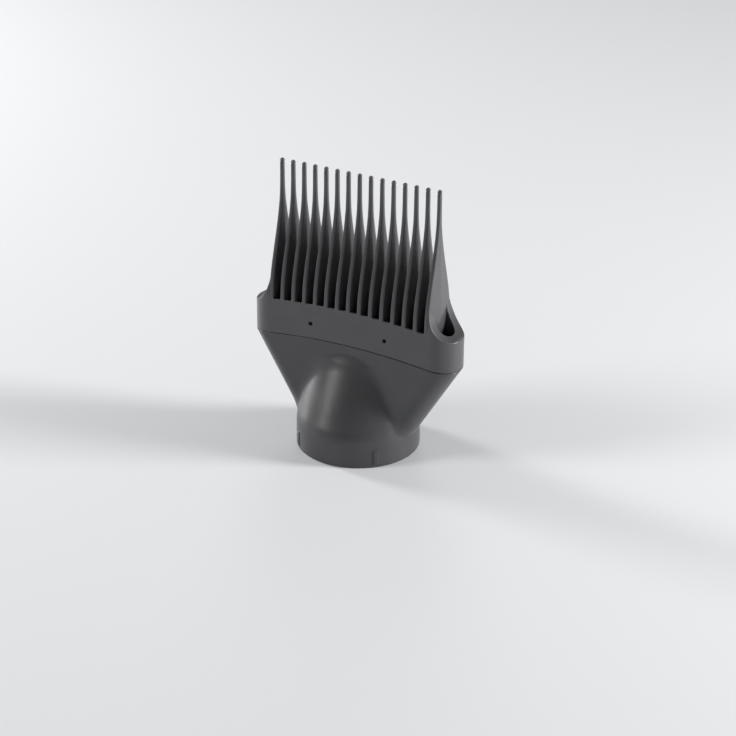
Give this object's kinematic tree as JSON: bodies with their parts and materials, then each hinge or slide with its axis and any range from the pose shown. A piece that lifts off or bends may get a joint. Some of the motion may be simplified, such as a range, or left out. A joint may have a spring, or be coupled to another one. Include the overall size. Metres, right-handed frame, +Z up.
{
  "type": "hair dryer pick comb attachment",
  "caption": "Pick comb nozzle for a hair dryer: a round collar flares into a wide flat duct, topped by a smooth band with a row of long tapered teeth with ball tips and an outlet at each end.",
  "frame": {"origin": "middle of the collar's bottom edge, on the axis of the bore", "axes": "+Z up along the collar's axis towards the tooth tips, X along the row of teeth, -Y towards the front face"},
  "size_m": [0.0912, 0.05, 0.1159],
  "materials": {
    "body_plastic": "satin charcoal",
    "comb_plastic": "satin charcoal"
  },
  "bodies": {
    "root": {"nozzle_body": "body_plastic", "comb_head": "comb_plastic"}
  },
  "joints": []
}
